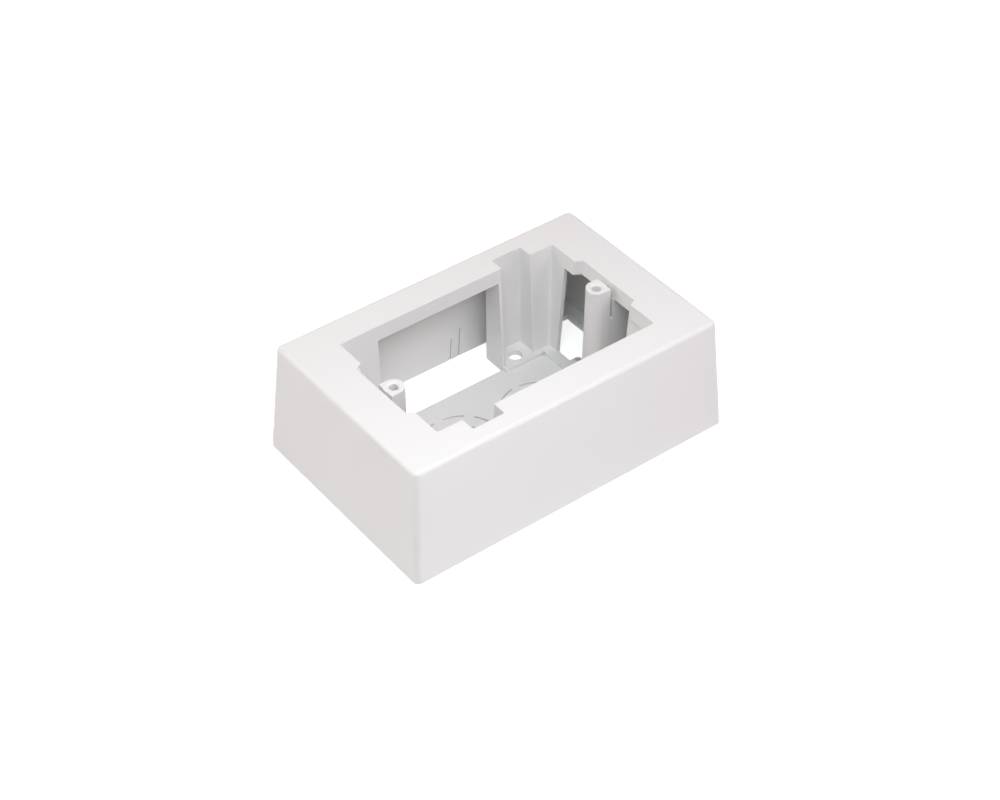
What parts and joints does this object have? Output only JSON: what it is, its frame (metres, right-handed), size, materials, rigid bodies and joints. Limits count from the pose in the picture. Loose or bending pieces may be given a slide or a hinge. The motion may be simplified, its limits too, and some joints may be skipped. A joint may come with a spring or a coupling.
{
  "type": "outlet junction box",
  "caption": "Shallow leaning rectangular surface box, open at the front, with a stepped device opening, screw posts and a knockout floor.",
  "frame": {"origin": "middle of the wall side, on the wall plane", "axes": "+X along the box, +Z out of the wall towards the room"},
  "size_m": [0.1284, 0.0842, 0.0434],
  "materials": {
    "moulded_plastic": "fine satin moulded off-white"
  },
  "bodies": {
    "root": {"outlet_box": "moulded_plastic"}
  },
  "joints": []
}
